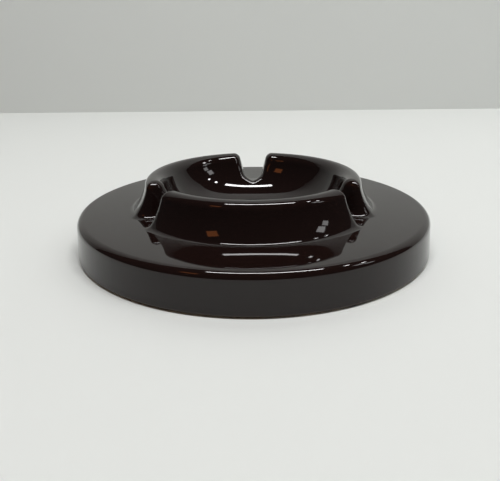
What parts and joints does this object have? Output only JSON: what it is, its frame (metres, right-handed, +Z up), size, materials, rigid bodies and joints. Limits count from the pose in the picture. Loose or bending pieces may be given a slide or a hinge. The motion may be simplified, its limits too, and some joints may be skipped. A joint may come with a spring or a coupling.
{
  "type": "round ashtray",
  "caption": "Round brown-glazed porcelain ashtray: a thick plate with a raised ring wall around a shallow bowl, notched for cigarette rests, on cork feet.",
  "frame": {"origin": "on the turning axis, on the surface that the ashtray stands on", "axes": "+Z up along the turning axis; one cigarette rest opens along +Y, and a plain stretch of the wall faces -Y"},
  "size_m": [0.1518, 0.1518, 0.0298],
  "materials": {
    "brown_glaze": "glossy fired glaze on porcelain, very dark reddish brown",
    "pressed_cork": "matt pressed cork"
  },
  "bodies": {
    "root": {"porcelain_body": "brown_glaze", "cork_foot_1": "pressed_cork", "cork_foot_2": "pressed_cork", "cork_foot_3": "pressed_cork"}
  },
  "joints": []
}
